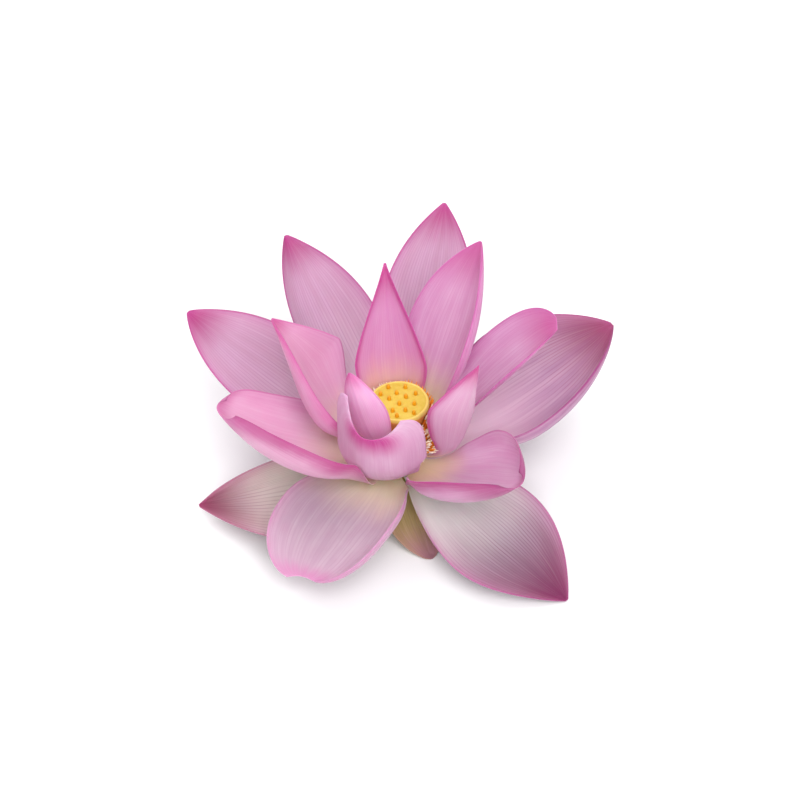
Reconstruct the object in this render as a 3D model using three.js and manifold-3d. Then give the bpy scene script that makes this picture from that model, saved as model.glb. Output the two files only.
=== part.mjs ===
// A picked lotus flower resting on a flat surface, in millimetres, with +Z up the flower's own axis.
// The origin is the centre of the cut end of its short stalk. -Y is the front, the side the bloom shows.
import * as THREE from 'three';
import { mergeVertices } from 'three/addons/utils/BufferGeometryUtils.js';
import Module from 'manifold-3d';

const wasm = await Module();
wasm.setup();

// Driving dimensions, in millimetres.
const PETAL_THICKNESS = 0.7;
const SEPAL_THICKNESS = 0.9;
const GAP = 0.3; // air between pieces that meet
const STALK_RADIUS = 4.8;
const STALK_LENGTH = 8; // what is left of the stalk under the flower
const BASE_TOP = 25; // height of the flat top of the flower base
const BASE_TOP_RADIUS = 10.2;
const POD_RADIUS = 12.8;
const POD_TOP = 49;
const POD_OFFSET = [0.3, 0.3]; // the pod grew slightly off the axis
const PISTIL_RADIUS = 1;

// Stamens stand in a spiral, rooted in a thin ring on the flower base. A range holds the least and the most.
const STAMEN_COUNT = 72;
const GOLDEN_ANGLE = 137.5;
const STAMEN_LENGTH = [20, 23];
const STAMEN_ROOT = [8.8, 9.3]; // distance from the axis at the root
const STAMEN_TOP = [14.4, 14.7]; // and at the tip
const STAMEN_RING = [8, 10.1]; // inner and outer radius of the ring
const STAMEN_RING_HEIGHT = 1.5;
const STAMEN_FREE = [222, 278]; // azimuths without stamens, where the front petal lies against the pod
const ANTHER_LENGTH = 7;
const ANTHER_RADIUS = 0.75;
const FILAMENT_RADIUS = 0.42;
const STAMEN_SEED = 11;

// Petal roots sit on a widening ring: its radius at ROOT_HEIGHT, and how much wider it gets per millimetre.
const ROOT_RADIUS = 8.4;
const ROOT_HEIGHT = 11;
const ROOT_FLARE = 0.3;

const MIDRIB_STEPS = 48;
const CUP_STEPS = 12;
const OPENING = 0.3; // share of the length over which a flat root opens to the full cup
const HOOK_START = 0.6; // share of the length where a tip's extra hook starts
const TIP_CROWDING = 1.35; // rows of points crowd towards the tip
const NORMAL_STEP = 0.004; // share of the blade over which its slope is measured

// Rows along and columns across each kind of blade, and sides of the round pieces.
const OUTER_GRID = [11, 8];
const INNER_GRID = [14, 10];
const SEPAL_GRID = [8, 6];
const BODY_SIDES = 28;
const STALK_SIDES = 20;
const STAMEN_SIDES = 3;

const COLOURS = {
  inner: 0xe59cc6,
  outer: 0xd6b0cb,
  sepal: 0x9c9a5e,
  stalk: 0x7d9a52,
  base: 0xd9cf8a,
  pod: 0xf0c850,
  stamen: 0xf2b04a,
};

// What a blade is unless its own line says otherwise. Angles are in degrees, lengths in millimetres, and a
// pair holds the counter-clockwise side first, then the clockwise side, as seen from above.
const PLAIN_BLADE = {
  azimuth: 0, // direction it grows in
  height: 15, // height of its root
  rise: 30, // climb at the root
  bend: 0, // climb added along the blade
  knee: 1, // share of the length where the bend is complete
  hook: 0, // climb added at the tip
  sway: 0, // sideways turn from root to tip
  roll: 0, // roll about the midrib at the root
  twist: 0, // roll added from root to tip
  length: 100,
  width: 45,
  wide: [1, 1], // share of the width on each side
  belly: [0.5, 0.5], // where each side is widest
  claw: 0.2, // width at the root
  shoulder: 1, // how slowly the side swells from the root
  taper: 2, // how late it narrows
  point: 0.9, // how straight it runs into the tip
  blunt: 0.03, // width left at the tip
  notch: 0, // how deeply the middle of the tip is cut back
  dip: [0, 0], // how deeply each corner of the tip is cut back
  clasp: 0, // share of the cup that the root already has
  cup: [45, 45], // how far each side turns up
  curl: [0, 0], // how far each margin curls in
};

// Petals from the outermost layer to the innermost.
const OUTER_PETALS = {
  outer_petal_back_right: {
    azimuth: 56, height: 12.3, rise: 0, bend: -17, length: 84, width: 46, cup: [0, 25],
  },
  outer_petal_back_left: {
    azimuth: 101, height: 13.8, rise: 2, bend: -24, length: 84, width: 46, cup: [25, 25],
  },
  outer_petal_left: {
    azimuth: 195, height: 13.6, rise: 2, bend: -10.5, length: 80, width: 46, wide: [1.65, 0.55],
    taper: 1.6, point: 0.95, cup: [5, 35],
  },
  outer_petal_front: {
    azimuth: 242, height: 15.5, rise: 16, bend: -32, length: 76, width: 60, wide: [1.04, 0.93],
    belly: [0.55, 0.55], claw: 0.19, taper: 2.4, point: 0.55, blunt: 0.25, notch: 0.045,
    dip: [0.03, 0], cup: [20, 20], curl: [110, 10],
  },
  outer_petal_front_right: {
    azimuth: 315, height: 14.2, rise: 1, bend: -19, length: 91.5, width: 54, wide: [0.9, 1.06],
    belly: [0.5, 0.57], point: 0.98, cup: [30, 12],
  },
  outer_petal_back_left_long: {
    azimuth: 150, height: 15, rise: 19, bend: 4, length: 105, width: 50, wide: [1.05, 0.97],
    point: 0.85, cup: [15, 28],
  },
  outer_petal_right: {
    azimuth: 28, height: 15, rise: 17, bend: 4, length: 103, width: 54, wide: [1.1, 1.6],
    belly: [0.55, 0.45], shoulder: 1.4, point: 0.88, cup: [40, 10], curl: [0, 115],
  },
  middle_petal_back: {
    azimuth: 78, height: 18.5, rise: 32, bend: 6, length: 107.5, width: 43, wide: [0.95, 1],
    belly: [0.55, 0.55], point: 0.97, cup: [30, 30],
  },
  middle_petal_back_left: {
    azimuth: 120, height: 16.9, rise: 24, bend: 11, length: 105, width: 50, wide: [0.9, 0.93],
    point: 0.92, cup: [60, 40],
  },
};

const INNER_PETALS = {
  middle_petal_left: {
    azimuth: 198, height: 19, rise: 8, bend: 54, length: 86, width: 54, wide: [1.53, 1],
    belly: [0.52, 0.45], claw: 0.22, shoulder: 0.8, taper: 2.2, point: 0.6, blunt: 0.3,
    dip: [0, 0.06], cup: [55, 55], curl: [60, 0],
  },
  middle_petal_front_right: {
    azimuth: 316, height: 18.5, rise: -3, bend: 57, length: 68, width: 54, wide: [1.12, 1.38],
    belly: [0.58, 0.5], claw: 0.16, shoulder: 1.25, taper: 2.2, point: 0.55, blunt: 0.25,
    dip: [0.06, 0.05], cup: [76, 77],
  },
  middle_petal_right: {
    azimuth: 15.5, height: 19.8, rise: 39.5, bend: 15.4, sway: -16.9, roll: 2.9, length: 88.3,
    width: 55, wide: [0.85, 0.24], belly: [0.65, 0.61], claw: 0.19, shoulder: 1.22, taper: 2.14,
    point: 0.59, blunt: 0.2, notch: 0.06, dip: [0.04, 0.13], clasp: 0.6, cup: [37, 76],
  },
  inner_petal_back_right: {
    azimuth: 50, height: 22.2, rise: 55, bend: 14, length: 91, width: 46, wide: [0.93, 0.97],
    claw: 0.22, point: 0.9, clasp: 0.7, cup: [35, 55], curl: [0, 90],
  },
  inner_petal_left: {
    azimuth: 168.4, height: 21.5, rise: 22.7, bend: 47.7, knee: 0.6, roll: -0.9, length: 79.9,
    width: 50, wide: [1.17, 1.21], belly: [0.4, 0.53], claw: 0.16, shoulder: 2.18, taper: 1.21,
    point: 1.01, clasp: 0.6, cup: [61.6, 38], curl: [70, 0],
  },
  inner_petal_back: {
    azimuth: 100, height: 25, rise: 65, bend: 18, length: 76, width: 36, wide: [1.04, 1],
    belly: [0.42, 0.36], claw: 0.32, taper: 1.3, point: 1.2, clasp: 0.8, cup: [55, 60],
  },
  inner_petal_right: {
    azimuth: 327.7, height: 23, rise: 13.2, bend: 65.2, knee: 0.35, sway: -3.8, roll: -24.1,
    twist: -2.1, length: 75, width: 35.5, wide: [0.47, 0.92], belly: [0.51, 0.6], claw: 0.13,
    shoulder: 1.77, taper: 1.23, point: 1.2, clasp: 0.8, cup: [49, 56],
  },
  inner_petal_front_left: {
    azimuth: 233, height: 24.6, rise: 71, bend: 8, sway: -70, roll: 20, twist: 70, length: 56,
    width: 40, wide: [0.52, 0.6], belly: [0.52, 0.33], claw: 0.25, clasp: 0.8, cup: [45, 55],
  },
  inner_petal_front: {
    azimuth: 245.5, height: 22.4, rise: -7.6, bend: 96.5, knee: 0.45, hook: -3.3, sway: -1.8,
    roll: 2.2, length: 70.9, width: 56.3, wide: [0.99, 0.71], claw: 0.22, shoulder: 0.6,
    taper: 2.92, point: 0.3, blunt: 0.58, notch: 0.337, dip: [0.23, 0.11], clasp: 0.3,
    cup: [69.4, 56.9],
  },
};

const PLAIN_SEPAL = {
  height: 10.5, rise: -10, bend: -12, length: 42, width: 24, claw: 0.3, cup: [30, 30],
};
const SEPALS = {
  sepal_front: { ...PLAIN_SEPAL, azimuth: 282, rise: -8, bend: -15, sway: 12, width: 28 },
  sepal_right: { ...PLAIN_SEPAL, azimuth: 12, cup: [20, 30] },
  sepal_back: { ...PLAIN_SEPAL, azimuth: 125 },
  sepal_left: { ...PLAIN_SEPAL, azimuth: 205 },
};

// Tips of the pistils on the pod's face, from its centre.
const PISTILS = [
  [-4.7, 8.4], [2.6, 8.4], [-1.1, 4.7], [7, 4.4], [-4.3, 1.2], [2.8, 2.5], [0, -1.9], [6.4, -1.9],
  [2.6, -5.9], [-2.8, -6.2], [-8, 4], [-8.4, -1.6], [-6.6, -6.4], [6.2, -7.6], [-1, -9.4],
];

const UP = new THREE.Vector3(0, 0, 1);
const radians = THREE.MathUtils.degToRad;

function rootRadius(height) {
  return ROOT_RADIUS + ROOT_FLARE * (height - ROOT_HEIGHT);
}

// Half the blade's width at share u of its length, on side 0 or 1.
function halfWidth(blade, u, side) {
  const belly = blade.belly[side];
  const full = (blade.width / 2) * blade.wide[side];
  if (u < belly) {
    const swell = Math.sin(((u / belly) * Math.PI) / 2) ** blade.shoulder;
    return full * (blade.claw + (1 - blade.claw) * swell);
  }
  const past = (u - belly) / (1 - belly);
  const narrowing = Math.max(0, 1 - past ** blade.taper) ** blade.point;
  return full * (blade.blunt + (1 - blade.blunt) * narrowing);
}

// Stations along the midrib, each with its point and the directions across the blade and to its inner face.
function midribOf(blade) {
  const azimuth = radians(blade.azimuth);
  const outward = new THREE.Vector3(Math.cos(azimuth), Math.sin(azimuth), 0);
  const around = new THREE.Vector3(-Math.sin(azimuth), Math.cos(azimuth), 0);

  const directionsAt = (t) => {
    const hooked = Math.max(0, (t - HOOK_START) / (1 - HOOK_START)) ** 2;
    const climb = radians(blade.rise + blade.bend * Math.min(1, t / blade.knee) + blade.hook * hooked);
    const sway = radians(blade.sway * t);
    const level = outward.clone().multiplyScalar(Math.cos(sway)).addScaledVector(around, Math.sin(sway));
    const across = around.clone().multiplyScalar(Math.cos(sway)).addScaledVector(outward, -Math.sin(sway));
    const along = level.multiplyScalar(Math.cos(climb)).addScaledVector(UP, Math.sin(climb));
    across.applyAxisAngle(along, radians(blade.roll + blade.twist * t));
    return { along, across, inward: along.clone().cross(across) };
  };

  const point = outward.clone().multiplyScalar(rootRadius(blade.height)).setZ(blade.height);
  const stations = [];
  for (let i = 0; i <= MIDRIB_STEPS; i += 1) {
    const { across, inward } = directionsAt(i / MIDRIB_STEPS);
    stations.push({ point: point.clone(), across, inward });
    const { along } = directionsAt((i + 0.5) / MIDRIB_STEPS);
    point.addScaledVector(along, blade.length / MIDRIB_STEPS);
  }
  return stations;
}

// Point of the blade's middle surface at share u of the length and v from -1 to 1 across it.
function bladePoint(blade, stations, u, v) {
  const side = v >= 0 ? 0 : 1;
  const share = Math.abs(v);
  const reach = u * (1 - blade.notch * (1 - v * v) - blade.dip[side] * v * v);
  const place = Math.min(reach, 1) * MIDRIB_STEPS;
  const first = stations[Math.min(Math.floor(place), MIDRIB_STEPS - 1)];
  const next = stations[Math.min(Math.floor(place) + 1, MIDRIB_STEPS)];
  const between = place - Math.min(Math.floor(place), MIDRIB_STEPS - 1);

  const smooth = THREE.MathUtils.smoothstep(u, 0, OPENING);
  const opened = blade.clasp + (1 - blade.clasp) * smooth;
  let sideways = 0;
  let upwards = 0;
  for (let k = 0; k < CUP_STEPS; k += 1) {
    const s = ((k + 0.5) / CUP_STEPS) * share;
    const turn = radians(blade.cup[side] * s + blade.curl[side] * s ** 5) * opened;
    sideways += Math.cos(turn) / CUP_STEPS;
    upwards += Math.sin(turn) / CUP_STEPS;
  }
  const reachAcross = share * halfWidth(blade, u, side);
  const point = first.point.clone().lerp(next.point, between);
  const across = first.across.clone().lerp(next.across, between);
  const inward = first.inward.clone().lerp(next.inward, between);
  point.addScaledVector(across, Math.sign(v) * sideways * reachAcross);
  return point.addScaledVector(inward, upwards * reachAcross);
}

// Direction square to the middle surface, towards the inner face.
function bladeNormal(blade, stations, u, v) {
  const u0 = Math.max(0, u - NORMAL_STEP);
  const u1 = Math.min(1, u + NORMAL_STEP);
  const v0 = Math.max(-1, v - NORMAL_STEP);
  const v1 = Math.min(1, v + NORMAL_STEP);
  const along = bladePoint(blade, stations, u1, v).sub(bladePoint(blade, stations, u0, v));
  const across = bladePoint(blade, stations, u, v1).sub(bladePoint(blade, stations, u, v0));
  return along.cross(across).normalize();
}

// Closed solid of one blade: an inner and an outer sheet with alike triangles, joined round the margin.
// No point goes below the surface the flower rests on, so a drooping tip lies flat on it.
function bladeSolid(blade, thickness, [rows, columns]) {
  const stations = midribOf(blade);
  const points = [];
  for (const face of [1, -1]) {
    const lowest = face > 0 ? thickness : 0;
    for (let i = 0; i <= rows; i += 1) {
      const u = 1 - (1 - i / rows) ** TIP_CROWDING;
      for (let j = 0; j <= columns; j += 1) {
        const v = -1 + (2 * j) / columns;
        const point = bladePoint(blade, stations, u, v);
        point.addScaledVector(bladeNormal(blade, stations, u, v), (face * thickness) / 2);
        points.push(point.setZ(Math.max(point.z, lowest)));
      }
    }
  }
  const sheet = (rows + 1) * (columns + 1);
  const at = (i, j) => i * (columns + 1) + j;
  const triangles = [];
  for (let i = 0; i < rows; i += 1) {
    for (let j = 0; j < columns; j += 1) {
      const quad = [at(i, j), at(i + 1, j), at(i + 1, j + 1), at(i, j + 1)];
      triangles.push(quad[0], quad[1], quad[2], quad[0], quad[2], quad[3]);
      triangles.push(quad[2] + sheet, quad[1] + sheet, quad[0] + sheet);
      triangles.push(quad[3] + sheet, quad[2] + sheet, quad[0] + sheet);
    }
  }
  const rim = [];
  for (let i = 0; i < rows; i += 1) rim.push(at(i, 0));
  for (let j = 0; j < columns; j += 1) rim.push(at(rows, j));
  for (let i = rows; i > 0; i -= 1) rim.push(at(i, columns));
  for (let j = columns; j > 0; j -= 1) rim.push(at(0, j));
  rim.forEach((from, k) => {
    const to = rim[(k + 1) % rim.length];
    triangles.push(to, from, from + sheet, to, from + sheet, to + sheet);
  });
  return new THREE.BufferGeometry().setFromPoints(points).setIndex(triangles);
}

// Solid of a closed geometry, ready to be joined to others.
function solidOf(geometry) {
  const bare = geometry.clone();
  bare.deleteAttribute('normal');
  bare.deleteAttribute('uv');
  const merged = mergeVertices(bare, 1e-4);
  return new wasm.Manifold(new wasm.Mesh({
    numProp: 3,
    vertProperties: merged.attributes.position.array,
    triVerts: new Uint32Array(merged.index.array),
  }));
}

function joined(geometries) {
  const whole = geometries.map(solidOf).reduce((sum, next) => sum.add(next));
  const mesh = whole.getMesh();
  const geometry = new THREE.BufferGeometry();
  geometry.setAttribute('position', new THREE.BufferAttribute(new Float32Array(mesh.vertProperties), 3));
  return geometry.setIndex(new THREE.BufferAttribute(new Uint32Array(mesh.triVerts), 1));
}

// Turned solid about +Z from radius and height pairs, listed from the bottom up.
function turned(profile, sides) {
  const points = profile.map(([radius, height]) => new THREE.Vector2(radius, height));
  return new THREE.LatheGeometry(points, sides).rotateX(Math.PI / 2);
}

// Repeatable draws between two bounds.
function seededDraw(seed) {
  let state = seed;
  return ([least, most]) => {
    state = (state * 16807) % 2147483647;
    return least + (most - least) * (state / 2147483647);
  };
}

// A short cut length of stalk, slightly swollen where it meets the flower.
function stalkGeometry() {
  return turned([
    [0, 0], [STALK_RADIUS - 0.3, 0], [STALK_RADIUS, 0.5], [STALK_RADIUS, STALK_LENGTH - 2],
    [STALK_RADIUS + 0.6, STALK_LENGTH], [0, STALK_LENGTH],
  ], STALK_SIDES);
}

// The solid heart of the flower that the petals grow from.
function baseGeometry() {
  const bottom = STALK_LENGTH + GAP;
  return turned([
    [0, bottom], [STALK_RADIUS + 1.2, bottom], [rootRadius(ROOT_HEIGHT) - 0.7, ROOT_HEIGHT - 1],
    [BASE_TOP_RADIUS - 0.2, BASE_TOP - 6], [BASE_TOP_RADIUS, BASE_TOP], [0, BASE_TOP],
  ], BODY_SIDES);
}

// The funnel-shaped seed pod with the tips of its pistils standing out of the flat face.
function podGeometry() {
  const bottom = BASE_TOP + GAP;
  const cup = turned([
    [0, bottom], [6.4, bottom], [6.4, bottom + 2], [8.6, POD_TOP - 16], [POD_RADIUS - 1.1, POD_TOP - 5.5],
    [POD_RADIUS, POD_TOP - 2.2], [POD_RADIUS, POD_TOP - 1],
    [POD_RADIUS - 1.2, POD_TOP], [0, POD_TOP - 0.6],
  ], BODY_SIDES);
  const pistils = PISTILS.map(([x, y]) => {
    const knob = new THREE.SphereGeometry(PISTIL_RADIUS, 6, 4).rotateX(Math.PI / 2);
    return knob.translate(x, y, POD_TOP - 0.2);
  });
  return joined([cup, ...pistils]).translate(...POD_OFFSET, 0);
}

// Stamens round the pod, fused with the ring that they are rooted in.
function stamenGeometry() {
  const [inside, outside] = STAMEN_RING;
  const low = BASE_TOP + GAP;
  const high = low + STAMEN_RING_HEIGHT;
  const pieces = [turned([
    [inside, low], [outside, low], [outside, high], [inside, high], [inside, low],
  ], BODY_SIDES)];
  const draw = seededDraw(STAMEN_SEED);
  for (let i = 0; i < STAMEN_COUNT; i += 1) {
    const azimuth = (i * GOLDEN_ANGLE) % 360;
    const root = draw(STAMEN_ROOT);
    const top = draw(STAMEN_TOP);
    const length = draw(STAMEN_LENGTH);
    if (azimuth < STAMEN_FREE[0] || azimuth > STAMEN_FREE[1]) {
      const stamen = turned([
        [0, 0], [FILAMENT_RADIUS, 0], [FILAMENT_RADIUS, length - ANTHER_LENGTH],
        [ANTHER_RADIUS, length - ANTHER_LENGTH + 1], [0, length + 1],
      ], STAMEN_SIDES);
      stamen.rotateY(Math.asin((top - root) / length));
      stamen.translate(root, 0, low + STAMEN_RING_HEIGHT / 2);
      pieces.push(stamen.rotateZ(radians(azimuth)));
    }
  }
  return joined(pieces);
}

function material(color, roughness) {
  return new THREE.MeshStandardMaterial({ color, roughness, metalness: 0 });
}

const flower = new THREE.Group();

function addPiece(name, geometry, finish) {
  const mesh = new THREE.Mesh(geometry, finish);
  mesh.name = name;
  flower.add(mesh);
}

function addBlades(blades, thickness, grid, finish) {
  for (const [name, own] of Object.entries(blades)) {
    addPiece(name, bladeSolid({ ...PLAIN_BLADE, ...own }, thickness, grid), finish);
  }
}

addPiece('stalk', stalkGeometry(), material(COLOURS.stalk, 0.6));
addPiece('flower_base', baseGeometry(), material(COLOURS.base, 0.6));
addPiece('seed_pod', podGeometry(), material(COLOURS.pod, 0.55));
addPiece('stamens', stamenGeometry(), material(COLOURS.stamen, 0.6));
addBlades(OUTER_PETALS, PETAL_THICKNESS, OUTER_GRID, material(COLOURS.outer, 0.5));
addBlades(INNER_PETALS, PETAL_THICKNESS, INNER_GRID, material(COLOURS.inner, 0.5));
addBlades(SEPALS, SEPAL_THICKNESS, SEPAL_GRID, material(COLOURS.sepal, 0.6));

export default flower;
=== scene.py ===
"""A picked lotus flower in full bloom: its petals, sepals, seed pod, stamens and short stalk.

Sizes are in millimetres and angles in degrees, as in the part's source, until a point goes into a mesh.
"""

from __future__ import annotations

import logging
import math
import random
from dataclasses import dataclass
from enum import Enum
from typing import Callable, Iterable, Iterator, Sequence, Union

import bmesh
import bpy
from mathutils import Matrix, Vector, noise

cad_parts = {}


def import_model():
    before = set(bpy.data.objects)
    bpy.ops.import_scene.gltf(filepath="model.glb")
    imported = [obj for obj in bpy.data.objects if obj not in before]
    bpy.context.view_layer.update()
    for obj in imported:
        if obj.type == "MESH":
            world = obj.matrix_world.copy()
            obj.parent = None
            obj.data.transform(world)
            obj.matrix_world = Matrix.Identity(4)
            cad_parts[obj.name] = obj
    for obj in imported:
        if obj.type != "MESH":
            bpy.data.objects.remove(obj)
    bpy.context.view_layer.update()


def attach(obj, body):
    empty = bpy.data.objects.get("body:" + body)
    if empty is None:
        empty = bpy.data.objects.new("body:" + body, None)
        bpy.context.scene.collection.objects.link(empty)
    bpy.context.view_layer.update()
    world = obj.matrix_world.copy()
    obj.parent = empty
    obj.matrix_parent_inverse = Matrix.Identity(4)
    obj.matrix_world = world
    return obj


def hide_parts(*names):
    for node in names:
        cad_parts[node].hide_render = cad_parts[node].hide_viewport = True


LOG = logging.getLogger("lotus")
MM = 0.001
TO_METRES = Matrix.Scale(MM, 4)
BODY = "root"
BLADE_MAP = "blade"
HALF_WIDTH = "half_width"
INNER_SLOT = "petal_inner"

# Shared with the part's source.
PETAL_THICKNESS = 0.7
SEPAL_THICKNESS = 0.9
STALK_RADIUS = 4.8
STALK_LENGTH = 8.0
GAP = 0.3
BASE_TOP = 25.0
BASE_TOP_RADIUS = 10.2
ROOT_RADIUS = 8.4
ROOT_HEIGHT = 11.0
ROOT_FLARE = 0.3
MIDRIB_STEPS = 48
CUP_STEPS = 12
OPENING = 0.3
HOOK_START = 0.6
TIP_CROWDING = 1.35

Pair = tuple[float, float]
Station = tuple[Vector, Vector, Vector]
Colour = tuple[float, float, float, float]
Value = Union[float, "Signal"]
Shade = Union[Colour, "Signal"]


def smoothstep(low: float, high: float, value: float) -> float:
    """Blends smoothly from 0 to 1.

    Args:
        low: Value at which the result leaves 0.
        high: Value at which it reaches 1.
        value: Value to blend by.

    Returns:
        The blend, from 0 to 1.
    """
    share = min(1.0, max(0.0, (value - low) / (high - low)))
    return share * share * (3.0 - 2.0 * share)


def colour(code: str) -> Colour:
    """Reads a screen colour such as "e59cc6".

    Args:
        code: Six hexadecimal digits.

    Returns:
        The colour in Blender's linear values.
    """
    channels = []
    for start in (0, 2, 4):
        screen = int(code[start : start + 2], 16) / 255.0
        channels.append(screen / 12.92 if screen <= 0.04045 else ((screen + 0.055) / 1.055) ** 2.4)
    return (channels[0], channels[1], channels[2], 1.0)


# ---------------------------------------------------------------- shader maths


class Signal:
    """A value that flows from one node of a material to another."""

    def __init__(self, recipe: "Recipe", node: bpy.types.Node, output: int = 0) -> None:
        """Wraps one output of a node.

        Args:
            recipe: The material that the node belongs to.
            node: The node.
            output: Number of its output.
        """
        self.recipe = recipe
        self.node = node
        self.socket = node.outputs[output]

    def output(self, index: int) -> "Signal":
        """Another output of the same node."""
        return Signal(self.recipe, self.node, index)

    def _math(self, operation: str, first: Value, second: Value) -> "Signal":
        """One Math node."""
        return self.recipe.node("ShaderNodeMath", {"operation": operation}, {0: first, 1: second})

    def __add__(self, other: Value) -> "Signal":
        """self + other."""
        return self._math("ADD", self, other)

    def __radd__(self, other: Value) -> "Signal":
        """other + self."""
        return self._math("ADD", other, self)

    def __sub__(self, other: Value) -> "Signal":
        """self - other."""
        return self._math("SUBTRACT", self, other)

    def __rsub__(self, other: Value) -> "Signal":
        """other - self."""
        return self._math("SUBTRACT", other, self)

    def __mul__(self, other: Value) -> "Signal":
        """self * other."""
        return self._math("MULTIPLY", self, other)

    def __rmul__(self, other: Value) -> "Signal":
        """other * self."""
        return self._math("MULTIPLY", other, self)

    def __mod__(self, other: Value) -> "Signal":
        """self % other, never negative for a positive other."""
        return self._math("FLOORED_MODULO", self, other)

    def __abs__(self) -> "Signal":
        """Size of self without its sign."""
        return self._math("ABSOLUTE", self, 0.0)


class Recipe:
    """Builds one material from nodes."""

    def __init__(self, name: str) -> None:
        """Starts an empty material with a Principled shader.

        Args:
            name: The material's name.
        """
        self.material = bpy.data.materials.new(name)
        self.material.use_nodes = True
        self.tree = self.material.node_tree
        self.shader = self.tree.nodes["Principled BSDF"]

    def node(
        self, kind: str, settings: dict | None = None, sockets: dict | None = None, output: int = 0
    ) -> Signal:
        """Adds a node.

        Args:
            kind: The node's type.
            settings: Its own properties, which are set first.
            sockets: Values or signals for its inputs, by name or number.
            output: The output to hand back.

        Returns:
            The signal of that output.
        """
        made = self.tree.nodes.new(kind)
        for key, setting in (settings or {}).items():
            setattr(made, key, setting)
        for key, value in (sockets or {}).items():
            self.feed(made.inputs[key], value)
        return Signal(self, made, output)

    def feed(self, socket: bpy.types.NodeSocket, value: object) -> None:
        """Links a signal into a socket, or sets its value.

        Args:
            socket: The input to feed.
            value: A signal, or a fixed value of the socket's own kind.
        """
        if isinstance(value, Signal):
            self.tree.links.new(value.socket, socket)
        else:
            socket.default_value = value

    def mix(self, factor: Value, first: Shade, second: Shade) -> Signal:
        """Blends two colours: the first at factor 0, the second at 1."""
        settings = {"data_type": "RGBA", "clamp_factor": True}
        return self.node("ShaderNodeMix", settings, {0: factor, 6: first, 7: second}, output=2)

    def step(self, low: Value, high: Value, value: Signal) -> Signal:
        """Smooth blend from 0 at low to 1 at high."""
        settings = {"interpolation_type": "SMOOTHSTEP", "clamp": True}
        return self.node("ShaderNodeMapRange", settings, {0: value, 1: low, 2: high, 3: 0.0, 4: 1.0})

    def vector(self, x: Value, y: Value, z: Value) -> Signal:
        """Joins three values."""
        return self.node("ShaderNodeCombineXYZ", None, {0: x, 1: y, 2: z})

    def noise(self, place: Signal, scale: float, detail: float = 2.0, roughness: float = 0.5) -> Signal:
        """Noise from about 0 to 1 at a place."""
        sockets = {"Vector": place, "Scale": scale, "Detail": detail, "Roughness": roughness}
        return self.node("ShaderNodeTexNoise", None, sockets)

    def bump(self, height: Signal, distance_mm: float, strength: float) -> Signal:
        """Surface relief from a height of 0 to 1."""
        sockets = {"Strength": strength, "Distance": distance_mm * MM, "Height": height}
        return self.node("ShaderNodeBump", None, sockets)

    def finish(
        self, base: Shade, roughness: Value, normal: Signal | None = None, **constants: object
    ) -> None:
        """Feeds the shader.

        Args:
            base: Base colour.
            roughness: Roughness.
            normal: Bumped normal, if any.
            **constants: Other sockets' fixed values, with _ for a space.
        """
        self.feed(self.shader.inputs["Base Color"], base)
        self.feed(self.shader.inputs["Roughness"], roughness)
        if normal is not None:
            self.feed(self.shader.inputs["Normal"], normal)
        for key, value in constants.items():
            self.shader.inputs[key.replace("_", " ")].default_value = value


# -------------------------------------------------------------------- finishes


class Face(Enum):
    """The two faces of a petal."""

    INNER = "inner"
    OUTER = "outer"


@dataclass(frozen=True)
class BladeField:
    """Where a point of a blade lies, and the noises that make its pattern uneven.

    The length runs from 0 at the root to 1 at the tip, and the place across from -1 to 1. The noises run
    from about 0 to 1: broad clouds, long streaks, fine lines, and the wander of the veins.
    """

    recipe: Recipe
    along: Signal
    across: Signal
    side: Signal
    inset_mm: Signal
    cloud: Signal
    streak: Signal
    fine: Signal
    wander: Signal

    @classmethod
    def of(cls, recipe: Recipe) -> "BladeField":
        """Reads the blade's own map and attribute.

        Args:
            recipe: The material that follows the blade.

        Returns:
            The field, in which side is the share of the half width and inset_mm is the way to the margin.
        """
        place = recipe.node("ShaderNodeUVMap", {"uv_map": BLADE_MAP})
        along = recipe.node("ShaderNodeSeparateXYZ", None, {0: place})
        across = along.output(1) * 2.0 - 1.0
        side = abs(across)
        half_width = recipe.node("ShaderNodeAttribute", {"attribute_name": HALF_WIDTH}, output=2)

        def pattern(lengthways: float, sideways: float, layer: float, scale: float, **own: float) -> Signal:
            """Noise with so many repeats along the blade and across it."""
            return recipe.noise(recipe.vector(along * lengthways, across * sideways, layer), scale, **own)

        return cls(
            recipe=recipe,
            along=along,
            across=across,
            side=side,
            inset_mm=(1.0 - side) * half_width,
            cloud=pattern(2.6, 2.2, 3.1, 1.7, detail=3.0),
            streak=pattern(1.1, 9.0, 7.7, 1.0, detail=3.0, roughness=0.6),
            fine=pattern(3.0, 46.0, 1.3, 1.0, roughness=0.6),
            wander=pattern(3.0, 1.5, 5.0, 1.4, detail=1.0),
        )


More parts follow.
